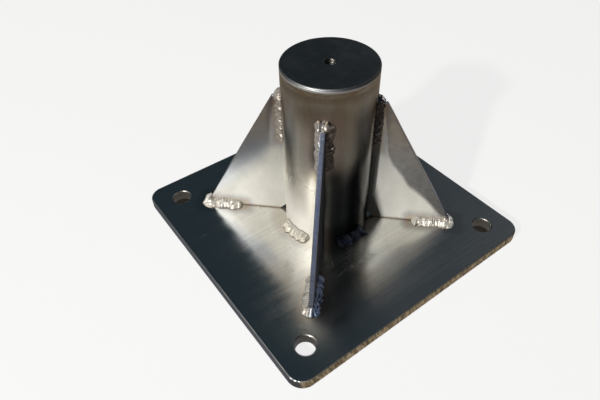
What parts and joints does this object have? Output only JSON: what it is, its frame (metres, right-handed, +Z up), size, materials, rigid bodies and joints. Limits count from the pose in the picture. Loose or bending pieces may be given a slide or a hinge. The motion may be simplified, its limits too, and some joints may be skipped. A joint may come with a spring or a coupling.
{
  "type": "stanchion base",
  "caption": "Welded steel stanchion base: square bolt-down plate, short round post with a tapped flat cap, and triangular gussets on the plate's diagonals.",
  "frame": {"origin": "centre of the base plate's underside, on the post's axis", "axes": "+Z up along the post, +X to the right and +Y to the back, both parallel to the plate's sides; the gussets stand on the diagonals"},
  "size_m": [0.2, 0.2, 0.133],
  "materials": {
    "plate_steel": "brushed lengthways, cut edges left rough",
    "post_steel": "satin, fine scratches round the pipe, heat tint beside the welds",
    "cap_steel": "smooth satin top with a dressed rim",
    "gusset_steel": "smooth mill finish with light marks",
    "dressed_weld": "weld ground flush and polished along the seam",
    "weld_metal": "as-welded rippled bead"
  },
  "bodies": {
    "root": {"base_plate": "plate_steel", "post_tube": "post_steel", "top_cap": "cap_steel", "weld_cap_seam": "dressed_weld", "gusset_front_right": "gusset_steel", "gusset_back_right": "gusset_steel", "gusset_back_left": "gusset_steel", "gusset_front_left": "gusset_steel", "weld_gusset_front_right_upper": "weld_metal", "weld_gusset_back_right_upper": "weld_metal", "weld_gusset_back_left_upper": "weld_metal", "weld_gusset_front_left_upper": "weld_metal", "weld_gusset_front_right_toe": "weld_metal", "weld_gusset_back_right_toe": "weld_metal", "weld_gusset_back_left_toe": "weld_metal", "weld_gusset_front_left_toe": "weld_metal", "weld_post_right": "weld_metal", "weld_post_front": "weld_metal", "weld_post_left": "weld_metal", "weld_post_back": "weld_metal"}
  },
  "joints": []
}
